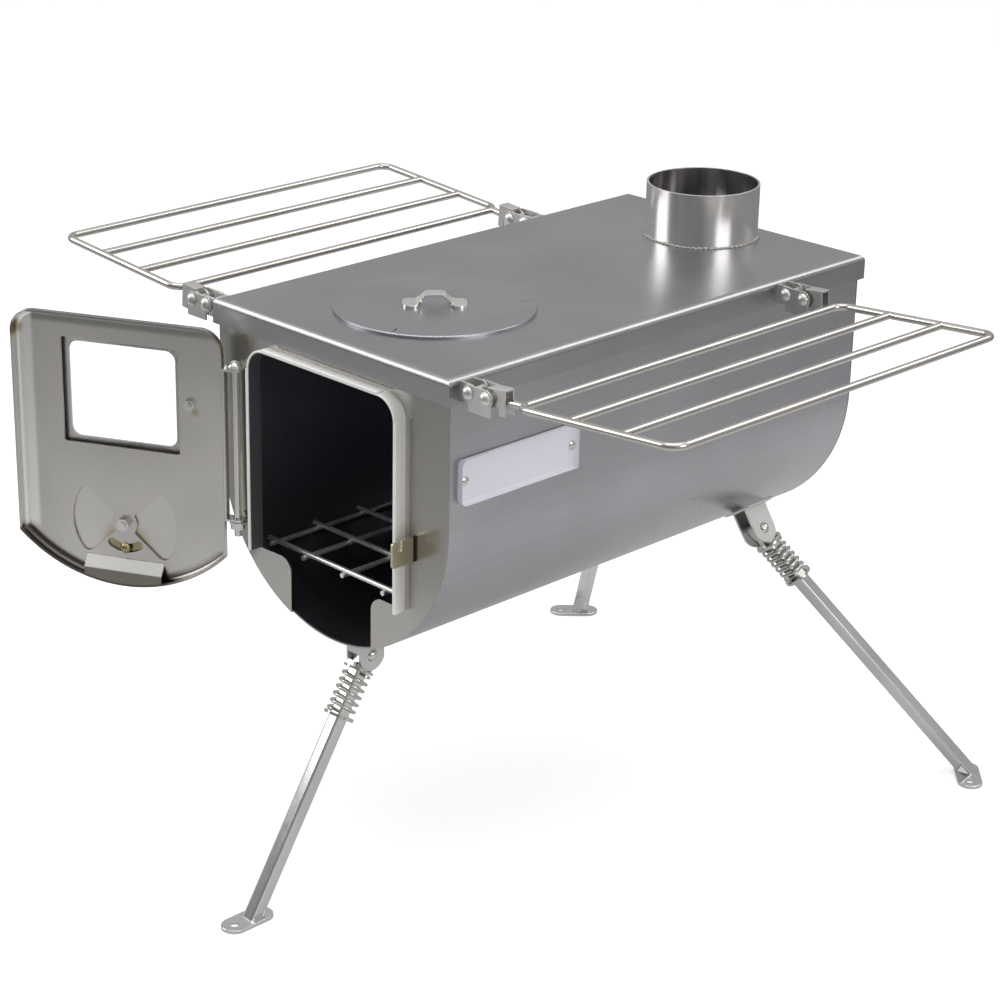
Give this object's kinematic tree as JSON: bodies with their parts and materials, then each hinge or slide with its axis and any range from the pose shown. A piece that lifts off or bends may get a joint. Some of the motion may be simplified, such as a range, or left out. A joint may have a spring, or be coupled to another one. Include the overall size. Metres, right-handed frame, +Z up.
{
  "type": "tent wood stove",
  "caption": "U-bottomed sheet-steel wood stove with hinged window door, lift-off cooking disc, flue collar, wire grate, fold-over wire side racks and spring-locked folding tripod legs.",
  "frame": {"origin": "on the floor, under the middle of the whole stove as it stands in the picture, with its door open and its racks out", "axes": "+Z up along the flue collar, -Y out of the door's opening, +X to the viewer's right when facing it"},
  "size_m": [0.5714, 0.5596, 0.428],
  "materials": {
    "stainless": "brushed stainless sheet",
    "polished": "polished stainless",
    "wire": "bright stainless wire",
    "tube": "bright stainless tube",
    "fastener": "bright fasteners",
    "spring_steel": "spring wire",
    "brass": "plain brass",
    "glass": "clear heat-proof pane"
  },
  "bodies": {
    "stove_body": {"lid": "stainless", "shell": "stainless", "front_plate": "stainless", "door_lip": "stainless", "back_plate": "stainless", "flue_collar": "polished", "keeper": "stainless", "hinge_bracket_fixed": "stainless", "hinge_bolt": "fastener", "hinge_nut": "fastener", "rack_bracket_front_right": "stainless", "rack_bracket_rear_right": "stainless", "rack_bracket_front_left": "stainless", "rack_bracket_rear_left": "stainless", "rack_bracket_rivets": "fastener", "leg_bracket_front": "stainless", "leg_bracket_rear_right": "stainless", "leg_bracket_rear_left": "stainless", "leg_rivets": "fastener"},
    "cooktop": {"cooktop_disc": "stainless", "cooktop_handle": "polished"},
    "grate": {"grate": "wire"},
    "door": {"door_panel": "stainless", "hinge_bracket_door": "stainless", "window_glass": "glass", "window_frame": "stainless", "retainer_screw": "fastener", "retainer_nut": "fastener", "air_deflector": "stainless", "damper_bolt": "fastener", "damper_nut": "fastener", "latch_stud": "fastener"},
    "damper": {"damper_disc": "stainless", "stop_screw": "brass"},
    "latch": {"latch_lever": "stainless"},
    "rack_link_right": {"rack_links_right": "stainless", "rack_link_rivets_right": "fastener"},
    "rack_right": {"rack_clips_right": "stainless", "rack_wires_right": "wire"},
    "rack_link_left": {"rack_links_left": "stainless", "rack_link_rivets_left": "fastener"},
    "rack_left": {"rack_clips_left": "stainless", "rack_wires_left": "wire"},
    "leg_front": {"leg_tube_front": "tube", "leg_foot_front": "tube", "leg_spring_front": "spring_steel", "leg_spring_seat_front": "spring_steel"},
    "lock_front": {"leg_lock_front": "spring_steel"},
    "leg_rear_right": {"leg_tube_rear_right": "tube", "leg_foot_rear_right": "tube", "leg_spring_rear_right": "spring_steel", "leg_spring_seat_rear_right": "spring_steel"},
    "lock_rear_right": {"leg_lock_rear_right": "spring_steel"},
    "leg_rear_left": {"leg_tube_rear_left": "tube", "leg_foot_rear_left": "tube", "leg_spring_rear_left": "spring_steel", "leg_spring_seat_rear_left": "spring_steel"},
    "lock_rear_left": {"leg_lock_rear_left": "spring_steel"}
  },
  "joints": [
    {"name": "cooktop_lift", "type": "slide", "parent": "stove_body", "child": "cooktop", "axis": [0, 0, 1], "range_m": [0, 0.03]},
    {"name": "grate_lift", "type": "slide", "parent": "stove_body", "child": "grate", "axis": [0, 0, 1], "range_m": [0, 0.06]},
    {"name": "door_swing", "type": "hinge", "parent": "stove_body", "child": "door", "pos_m": [-0.084, -0.19301, 0.296], "axis": [0, 0, -1], "range_deg": [-152, 18]},
    {"name": "damper_turn", "type": "hinge", "parent": "door", "child": "damper", "pos_m": [-0.15995, -0.22909, 0.228], "axis": [-0.4695, 0.8829, 0], "range_deg": [-32, 32]},
    {"name": "latch_turn", "type": "hinge", "parent": "door", "child": "latch", "pos_m": [-0.21734, -0.25961, 0.277], "axis": [-0.4695, 0.8829, 0], "range_deg": [-64, 12]},
    {"name": "rack_link_swing_right", "type": "hinge", "parent": "stove_body", "child": "rack_link_right", "pos_m": [0.1205, -0.02651, 0.383], "axis": [0, 1, 0], "range_deg": [-90, 0]},
    {"name": "rack_fold_right", "type": "hinge", "parent": "rack_link_right", "child": "rack_right", "pos_m": [0.135, -0.02651, 0.383], "axis": [0, 1, 0], "range_deg": [-74.5, 0]},
    {"name": "rack_link_swing_left", "type": "hinge", "parent": "stove_body", "child": "rack_link_left", "pos_m": [-0.1205, -0.02651, 0.383], "axis": [0, -1, 0], "range_deg": [-90, 0]},
    {"name": "rack_fold_left", "type": "hinge", "parent": "rack_link_left", "child": "rack_left", "pos_m": [-0.135, -0.02651, 0.383], "axis": [0, -1, 0], "range_deg": [-82.5, 0]},
    {"name": "leg_fold_front", "type": "hinge", "parent": "stove_body", "child": "leg_front", "pos_m": [0, -0.15451, 0.163], "axis": [-1, 0, 0], "range_deg": [-122, 0]},
    {"name": "lock_slide_front", "type": "slide", "parent": "leg_front", "child": "lock_front", "axis": [0, 0.5299, 0.848], "range_m": [-0.006, 0], "stiffness_N_per_m": 400, "springref_m": 0.01, "deforming": ["leg_spring_front"]},
    {"name": "leg_fold_rear_right", "type": "hinge", "parent": "stove_body", "child": "leg_rear_right", "pos_m": [0.07165, 0.16149, 0.18525], "axis": [0.8241, 0, 0.5664], "range_deg": [-112, 0]},
    {"name": "lock_slide_rear_right", "type": "slide", "parent": "leg_rear_right", "child": "lock_rear_right", "axis": [-0.5117, -0.4289, 0.7445], "range_m": [-0.006, 0], "stiffness_N_per_m": 400, "springref_m": 0.01, "deforming": ["leg_spring_rear_right"]},
    {"name": "leg_fold_rear_left", "type": "hinge", "parent": "stove_body", "child": "leg_rear_left", "pos_m": [-0.07165, 0.16149, 0.18525], "axis": [0.8241, 0, -0.5664], "range_deg": [-112, 0]},
    {"name": "lock_slide_rear_left", "type": "slide", "parent": "leg_rear_left", "child": "lock_rear_left", "axis": [0.5117, -0.4289, 0.7445], "range_m": [-0.006, 0], "stiffness_N_per_m": 400, "springref_m": 0.01, "deforming": ["leg_spring_rear_left"]}
  ]
}
